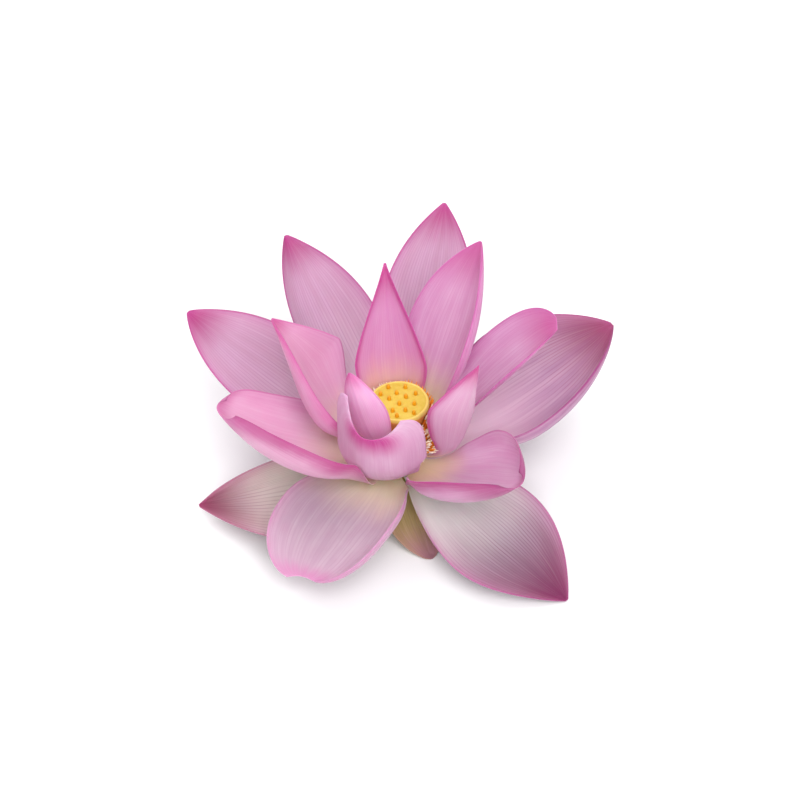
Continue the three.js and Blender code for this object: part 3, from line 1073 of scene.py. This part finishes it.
@dataclass
class SeedPod:
    """The funnel-shaped pod with its pistils.

    The foot is given as radii and heights over the flower base, the waist as a radius and a depth below the
    top, and the rim as insets from the radius and depths below the top.
    """

    radius: float = 12.8
    top: float = 49.0
    offset: Pair = (0.3, 0.3)
    foot: tuple[Pair, ...] = ((6.2, 0.0), (6.4, 2.0))
    waist: Pair = (8.6, 16.0)
    rim: tuple[Pair, ...] = ((1.2, 5.5), (0.1, 2.4), (0.0, 1.3), (0.35, 0.3), (0.8, 0.0), (1.3, 0.2))
    rim_inset: float = 1.5
    rim_depth: float = 1.6
    face_inset: float = 1.4
    face_depth: float = 0.4
    face_band: float = 0.7
    face_fade: float = 1.2
    face_steps: int = 27
    face_step: float = 0.4
    face_swell: float = 0.18
    pit_depth: float = 0.25
    pit_width: float = 1.1
    lip_height: float = 0.08
    lip_ring: float = 1.6
    lip_width: float = 0.5
    side_swell: float = 0.012
    turn_steps: int = 120
    pistil_radius: float = 0.88
    pistil_stretch: float = 2.3
    pistil_sink: float = 0.35
    hollow_depth: float = 0.3
    hollow_width: float = 0.35
    pistils: tuple[Pair, ...] = (
        (-4.7, 8.4), (2.6, 8.4), (-1.1, 4.7), (7.0, 4.4), (-4.3, 1.2), (2.8, 2.5), (0.0, -1.9), (6.4, -1.9),
        (2.6, -5.9), (-2.8, -6.2), (-8.0, 4.0), (-8.4, -1.6), (-6.6, -6.4), (6.2, -7.6), (-1.0, -9.4),
    )

    def profile(self) -> list[Pair]:
        """Draws the section of the pod.

        Returns:
            Points from the bottom of its axis to the middle of its face.
        """
        bottom = BASE_TOP + GAP
        outside = [(radius, bottom + height) for radius, height in self.foot]
        outside.append((self.waist[0], self.top - self.waist[1]))
        outside += [(self.radius - inset, self.top - depth) for inset, depth in self.rim]
        level = self.top - self.face_depth
        edge = self.radius - self.face_inset
        face = [(edge - self.face_step * (k + 1), level) for k in range(self.face_steps)]
        return [(0.0, bottom), *rounded_steps(outside, 4), *face, (0.0, level)]

    def relief(self, x: float, y: float) -> float:
        """Height of the face: a shallow pit with a raised lip round each pistil, on a soft swell.

        Args:
            x: Place to the right of the pod's axis.
            y: Place behind it.

        Returns:
            The height over the flat face, in millimetres.
        """
        height = self.face_swell * noise.noise(Vector((x * 0.35, y * 0.35, 0.0)))
        for px, py in self.pistils:
            away = math.hypot(x - px, y - py)
            lip = self.lip_height * bell(away - self.lip_ring, self.lip_width)
            height += lip - self.pit_depth * bell(away, self.pit_width)
        return height

    def build(self) -> None:
        """Makes the pod and its pistils."""
        flesh = (POD_FACE.dress(), POD_RIM.dress(), POD_SIDE_PAINTED_LIGHT.dress())
        hand_over(new_piece("seed_pod_flesh", self._flesh(), flesh), "pod", "seed_pod")
        hand_over(new_piece("pistils", self._pistil_tips(), (PISTIL.dress(),)), "pod")

    def _flesh(self) -> bmesh.types.BMesh:
        """Spins the pod and models its face.

        Returns:
            The mesh, with its face in slot 0, its rim in slot 1 and its side, whose lighter finish is
            painted light, in slot 2.
        """
        bm = bmesh.new()
        spun(bm, self.profile(), self.turn_steps)
        edge = self.radius - self.face_inset
        for vert in bm.verts:
            reach = math.hypot(vert.co.x, vert.co.y)
            if vert.co.z > self.top - self.face_band and reach < edge:
                fade = smoothstep(0.0, self.face_fade, edge - reach)
                vert.co.z += self.relief(vert.co.x, vert.co.y) * fade
            elif reach > 1.0:
                swell = 1.0 + self.side_swell * noise.noise(vert.co * 0.25)
                vert.co.x *= swell
                vert.co.y *= swell
        for face in bm.faces:
            middle = face.calc_center_median()
            # the side takes the finish that carries painted light
            if middle.z <= self.top - self.rim_depth:
                face.material_index = 2
            elif math.hypot(middle.x, middle.y) > self.radius - self.rim_inset:
                face.material_index = 1
        return self._settled(bm)

    def _pistil_tips(self) -> bmesh.types.BMesh:
        """Makes the tips of the pistils, each with a small hollow.

        Returns:
            The mesh.
        """
        bm = bmesh.new()
        stretch = Matrix.Diagonal((1.0, 1.0, self.pistil_stretch, 1.0))
        for x, y in self.pistils:
            made = bmesh.ops.create_icosphere(bm, subdivisions=3, radius=self.pistil_radius)
            place = Matrix.Translation((x, y, self.top - self.pistil_sink))
            bmesh.ops.transform(bm, matrix=place @ stretch, verts=made["verts"])
            for vert in made["verts"]:
                if vert.co.z > self.top:
                    away = math.hypot(vert.co.x - x, vert.co.y - y)
                    vert.co.z -= self.hollow_depth * bell(away, self.hollow_width)
        return self._settled(bm)

    def _settled(self, bm: bmesh.types.BMesh) -> bmesh.types.BMesh:
        """Moves a mesh from the pod's own axis to its place, and to metres.

        Args:
            bm: The mesh, in millimetres.

        Returns:
            The same mesh.
        """
        place = TO_METRES @ Matrix.Translation((*self.offset, 0.0))
        bmesh.ops.transform(bm, matrix=place, verts=bm.verts)
        return bm


class Sector(Enum):
    """Stretches of the ring, from one azimuth to another, whose stamens stand in a way of their own."""

    PRESSED = (222.0, 276.0)
    OPENING = (284.0, 336.0)
    RAISED = (5.0, 80.0)

    @classmethod
    def at(cls, azimuth: float) -> "Sector | None":
        """The stretch at an azimuth, if there is one."""
        return next((sector for sector in cls if sector.value[0] < azimuth < sector.value[1]), None)


@dataclass(frozen=True)
class Stamen:
    """One stamen.

    Its lean is from upright, at the root and at the tip, side leans it sideways, and pale gives its club
    the pale finish.
    """

    azimuth: float
    root: float
    length: float
    lean: Pair
    side: float
    pale: bool = True

    def path(self, steps: int) -> list[Vector]:
        """Walks along the middle line.

        Args:
            steps: Steps of the walk.

        Returns:
            Its points, before they are turned to the azimuth.
        """
        points = [Vector((self.root, 0.0, BASE_TOP + 0.2))]
        for k in range(steps):
            angle = math.radians(self.lean[0] + (self.lean[1] - self.lean[0]) * (k + 0.5) / steps)
            move = Vector((math.sin(angle), math.sin(math.radians(self.side)) * k / steps, math.cos(angle)))
            points.append(points[-1] + move * (self.length / steps))
        return points


@dataclass
class Stamens:
    """The stamens in a spiral round the pod.

    A pair holds the ends of a range, apart from pressed_lean, which leans the root and the tip.
    """

    count: int = 260
    seed: int = 11
    golden_angle: float = 137.5
    root: Pair = (8.3, 9.9)
    length: Pair = (19.5, 23.0)
    root_lean: Pair = (9.0, 12.0)
    tip_lean: Pair = (17.0, 23.0)
    side: float = 10.0
    pressed_lean: Pair = (5.0, 7.0)
    pressed_share: float = 0.72
    crowd: int = 4
    crowd_spread: float = 3.0
    crowd_step: float = 0.3
    crowd_share: Pair = (0.7, 0.9)
    crowd_root_lean: Pair = (8.0, 52.0)
    crowd_tip_lean: Pair = (16.0, 68.0)
    raised_by: float = 1.0
    filament_radius: float = 0.26
    anther_radius: float = 0.62
    club_radius: float = 0.36
    anther_from: float = 0.5
    club_from: float = 0.84
    club_root: float = 0.8
    rows: int = 12
    sides: int = 6

    def radius(self, t: float) -> float:
        """Radius of a stamen: filament, anther, then the club at the tip.

        Args:
            t: Share of the length.

        Returns:
            The radius, in millimetres.
        """
        if t < self.anther_from:
            return self.filament_radius * (1.15 - 0.4 * t)
        if t < self.club_from:
            share = (t - self.anther_from) / (self.club_from - self.anther_from)
            swell = math.sin(math.pi * share) ** 0.35
            return self.filament_radius * 0.8 + (self.anther_radius - self.filament_radius) * swell
        club = math.sin(math.pi * min(1.0, (t - self.club_root) / (1.0 - self.club_root))) ** 0.6
        return self.club_radius * club if t < 0.999 else 0.0

    def slot_of(self, t: float) -> int:
        """Material slot at a share of the length: filament, anther or club."""
        return 0 if t < self.anther_from else 1 if t < self.club_from else 2

    def ring(self) -> Iterator[Stamen]:
        """Draws the stamens in the order of the spiral.

        Yields:
            Each stamen.
        """
        draw = random.Random(self.seed)
        for i in range(self.count):
            azimuth = (i * self.golden_angle) % 360.0
            root = draw.uniform(*self.root)
            length = draw.uniform(*self.length)
            lean = (draw.uniform(*self.root_lean), draw.uniform(*self.tip_lean))
            side = draw.uniform(-self.side, self.side)
            sector = Sector.at(azimuth)
            if sector is Sector.PRESSED:
                if i % 2 == 0:
                    yield Stamen(azimuth, root, length * self.pressed_share, self.pressed_lean, side)
            elif sector is Sector.OPENING:
                for k in range(self.crowd):
                    splay = draw.random()
                    turned = azimuth + draw.uniform(-self.crowd_spread, self.crowd_spread)
                    short = length * draw.uniform(*self.crowd_share)
                    ends = (self.crowd_root_lean, self.crowd_tip_lean)
                    leaning = tuple(low + (high - low) * splay for low, high in ends)
                    yield Stamen(turned, root + self.crowd_step * k, short, leaning, side, k > 0)
            elif sector is Sector.RAISED:
                yield Stamen(azimuth, root, length + self.raised_by, lean, side, False)
            else:
                yield Stamen(azimuth, root, length, lean, side)

    def add(self, bm: bmesh.types.BMesh, stamen: Stamen) -> None:
        """Adds one stamen.

        Args:
            bm: The mesh, in millimetres.
            stamen: The stamen.
        """
        turn = Matrix.Rotation(math.radians(stamen.azimuth), 3, "Z")
        steps = self.rows * 2
        path = stamen.path(steps)
        first = turn @ Vector((0.0, 1.0, 0.0))
        last_slot = 2 if stamen.pale else 1

        def centre(t: float) -> Station:
            """Follows the path.

            Args:
                t: Share of the length.

            Returns:
                The point and the section's two directions.
            """
            index = min(int(t * steps), steps - 1)
            ahead = (path[index + 1] - path[index]).normalized()
            point = path[index].lerp(path[index + 1], t * steps - index)
            return turn @ point, first, turn @ Vector((ahead.z, 0.0, -ahead.x))

        sweep(bm, self.rows, self.sides, centre, self.radius, lambda t: min(last_slot, self.slot_of(t)))

    def build(self) -> None:
        """Makes all the stamens as one piece."""
        bm = bmesh.new()
        for stamen in self.ring():
            self.add(bm, stamen)
        bmesh.ops.remove_doubles(bm, verts=bm.verts, dist=1e-3)
        bmesh.ops.recalc_face_normals(bm, faces=bm.faces)
        bmesh.ops.transform(bm, matrix=TO_METRES, verts=bm.verts)
        finishes = (FILAMENT.dress(), ANTHER.dress(), APPENDAGE.dress())
        hand_over(new_piece("stamen_ring", bm, finishes), "stamen", "stamens")


@dataclass
class FlowerBase:
    """The solid heart that the petals, the pod and the stamens grow from.

    The foot is given beyond the stalk's radius and over the bottom, the waist as radii and heights, and the
    shoulder as insets from the top's radius and depths below the top.
    """

    overlap: float = 0.4
    foot: tuple[Pair, ...] = ((0.8, 0.0), (1.9, 0.8))
    waist: tuple[Pair, ...] = ((7.4, ROOT_HEIGHT - 0.6), (8.6, ROOT_HEIGHT + 3.5))
    shoulder: tuple[Pair, ...] = ((0.3, 6.0), (0.1, 1.0), (0.8, 0.0))
    ribs: float = 18.0
    rib_height: float = 0.12
    turn_steps: int = 72

    def build(self) -> None:
        """Makes the ribbed base, which reaches a little way down over the stalk."""
        bm = bmesh.new()
        bottom = STALK_LENGTH - self.overlap
        outside = [(STALK_RADIUS + beyond, bottom + height) for beyond, height in self.foot]
        outside += self.waist
        outside += [(BASE_TOP_RADIUS - inset, BASE_TOP - depth) for inset, depth in self.shoulder]
        spun(bm, [(0.0, bottom), *rounded_steps(outside, 5), (0.0, BASE_TOP)], self.turn_steps)
        for vert in bm.verts:
            reach = math.hypot(vert.co.x, vert.co.y)
            if reach > 1.0:
                lift = self.rib_height * math.cos(self.ribs * math.atan2(vert.co.y, vert.co.x))
                vert.co += Vector((vert.co.x, vert.co.y, 0.0)) / reach * lift
        bmesh.ops.transform(bm, matrix=TO_METRES, verts=bm.verts)
        hand_over(new_piece("flower_base_flesh", bm, (BASE_FLESH.dress(),)), "base", "flower_base")


@dataclass
class Stalk:
    """The short cut stalk under the flower, with its air channels and prickles."""

    face_steps: int = 14
    face_step: float = 0.3
    bevel: Pair = (0.3, 0.4)
    straight: Pair = (4.0, 6.4)
    flare: float = 0.6
    turn_steps: int = 96
    pores: int = 8
    pore_ring: float = 2.7
    pore_depth: float = 1.1
    pore_edge: Pair = (0.35, 0.75)
    middle_depth: float = 1.0
    middle_edge: Pair = (0.3, 0.7)
    skin_from: float = 0.35
    prickles: int = 34
    prickle_zone: Pair = (1.2, STALK_LENGTH - 1.6)
    prickle_size: Pair = (0.5, 0.9)
    prickle_radius: float = 0.32
    prickle_point: float = 0.02
    prickle_length: float = 1.1
    prickle_stand: float = 0.35
    prickle_tilt: float = 68.0
    seed: int = 3

    def build(self) -> None:
        """Makes the stalk, its cut end and its prickles."""
        bm = bmesh.new()
        face = [(self.face_step * (k + 1), 0.0) for k in range(self.face_steps)]
        outside = [(STALK_RADIUS - self.bevel[0], 0.0), (STALK_RADIUS, self.bevel[1])]
        outside += [(STALK_RADIUS, height) for height in self.straight]
        outside.append((STALK_RADIUS + self.flare, STALK_LENGTH))
        spun(bm, [(0.0, 0.0), *face, *rounded_steps(outside, 4), (0.0, STALK_LENGTH)], self.turn_steps)
        for vert in bm.verts:
            if vert.co.z < 0.01:
                vert.co.z += self._pore_depth(vert.co.x, vert.co.y)
        for part in bm.faces:
            cut = part.calc_center_median().z < self.skin_from or part.normal.z < -0.9
            part.material_index = 1 if cut else 0
        draw = random.Random(self.seed)
        for _ in range(self.prickles):
            turn = draw.uniform(0.0, math.tau)
            height = draw.uniform(*self.prickle_zone)
            self._add_prickle(bm, turn, height, draw.uniform(*self.prickle_size))
        bmesh.ops.transform(bm, matrix=TO_METRES, verts=bm.verts)
        finishes = (STALK_SKIN.dress(), STALK_CUT.dress(), PRICKLE.dress())
        hand_over(new_piece("stalk_stub", bm, finishes), "stalk", "stalk")

    def _pore_depth(self, x: float, y: float) -> float:
        """Depth of the air channels in the cut end.

        Args:
            x: Place to the right of the axis.
            y: Place behind it.

        Returns:
            The depth at that point, in millimetres.
        """
        depth = 0.0
        for k in range(self.pores):
            turn = math.tau * k / self.pores
            away = math.hypot(x - self.pore_ring * math.cos(turn), y - self.pore_ring * math.sin(turn))
            depth = max(depth, self.pore_depth * (1.0 - smoothstep(*self.pore_edge, away)))
        return max(depth, self.middle_depth * (1.0 - smoothstep(*self.middle_edge, math.hypot(x, y))))

    def _add_prickle(self, bm: bmesh.types.BMesh, turn: float, height: float, size: float) -> None:
        """Adds one prickle that points out and a little up.

        Args:
            bm: The mesh, in millimetres.
            turn: Its direction round the stalk, in radians.
            height: Its height.
            size: Its size as a share of a full one.
        """
        made = bmesh.ops.create_cone(
            bm, cap_ends=True, segments=6, radius1=self.prickle_radius * size, radius2=self.prickle_point,
            depth=self.prickle_length * size,
        )
        tilt = Matrix.Rotation(math.radians(self.prickle_tilt), 4, "Y")
        out = Matrix.Translation((STALK_RADIUS + self.prickle_stand * size, 0.0, height))
        bmesh.ops.transform(bm, matrix=Matrix.Rotation(turn, 4, "Z") @ out @ tilt, verts=made["verts"])
        for face in {face for vert in made["verts"] for face in vert.link_faces}:
            face.material_index = 2


# ---------------------------------------------------------------------- studio


@dataclass(frozen=True)
class Lamp:
    """One soft square light: its direction in degrees, its side in metres and its power in watts."""

    name: str
    azimuth: float
    elevation: float
    side: float
    power: float

    def build(self, aim: Vector, distance: float) -> None:
        """Hangs the light so that it shines at a point.

        Args:
            aim: The point, in metres.
            distance: How far away it hangs, in metres.
        """
        lamp = bpy.data.lights.new(self.name, "AREA")
        lamp.shape = "SQUARE"
        lamp.size = self.side
        lamp.energy = self.power
        climb = math.radians(self.elevation)
        turn = math.radians(self.azimuth)
        level = math.cos(climb)
        direction = Vector((math.cos(turn) * level, math.sin(turn) * level, math.sin(climb)))
        shone = bpy.data.objects.new(self.name, lamp)
        shone.location = aim + direction * distance
        shone.rotation_euler = direction.to_track_quat("Z", "Y").to_euler()
        bpy.context.scene.collection.objects.link(shone)


@dataclass
class Studio:
    """Camera at the photograph's angle, soft light and a pale floor, in metres."""

    elevation: float = 43.0
    distance: float = 0.96
    aim: tuple[float, float, float] = (0.0006, 0.0, 0.0495)
    lens: float = 101.5
    sensor: float = 36.0
    floor_half_size: float = 4.0
    floor_colour: str = "f4f3f4"
    sky_colour: str = "ffffff"
    sky_strength: float = 0.6
    lamp_distance: float = 1.8
    lamps: tuple[Lamp, ...] = (
        Lamp("front", azimuth=-78.0, elevation=48.0, side=1.3, power=30.0),
        Lamp("top", azimuth=60.0, elevation=78.0, side=1.6, power=8.0),
        Lamp("back", azimuth=140.0, elevation=50.0, side=1.3, power=10.0),
    )

    def build(self) -> None:
        """Makes the floor, the lights and the camera."""
        bpy.context.scene.view_settings.view_transform = "Standard"
        self._floor()
        self._sky()
        for lamp in self.lamps:
            lamp.build(Vector(self.aim), self.lamp_distance)
        self._camera()

    def _floor(self) -> None:
        """Lays the floor."""
        bm = bmesh.new()
        bmesh.ops.create_grid(bm, x_segments=1, y_segments=1, size=self.floor_half_size)
        recipe = Recipe("studio_floor")
        recipe.finish(colour(self.floor_colour), 0.9)
        new_piece("studio_floor", bm, (recipe.material,))

    def _sky(self) -> None:
        """Lights the scene evenly from all round."""
        world = bpy.data.worlds.new("studio")
        world.use_nodes = True
        sky = world.node_tree.nodes["Background"]
        sky.inputs["Color"].default_value = colour(self.sky_colour)
        sky.inputs["Strength"].default_value = self.sky_strength
        bpy.context.scene.world = world

    def _camera(self) -> None:
        """Places the camera."""
        angle = math.radians(self.elevation)
        aim = Vector(self.aim)
        place = aim + Vector((0.0, -math.cos(angle), math.sin(angle))) * self.distance
        camera = bpy.data.cameras.new("camera")
        camera.sensor_width = self.sensor
        camera.lens = self.lens
        camera.clip_start = 0.01
        seen = bpy.data.objects.new("camera", camera)
        seen.location = place
        seen.rotation_euler = (aim - place).to_track_quat("-Z", "Y").to_euler()
        bpy.context.scene.collection.objects.link(seen)
        bpy.context.scene.camera = seen


def main() -> None:
    """Builds the flower round the frame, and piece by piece."""
    logging.basicConfig(level=logging.INFO, format="%(name)s: %(message)s")
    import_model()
    Studio().build()
    Corolla().build()
    SeedPod().build()
    Stamens().build()
    FlowerBase().build()
    Stalk().build()


if __name__ == "__main__":
    main()
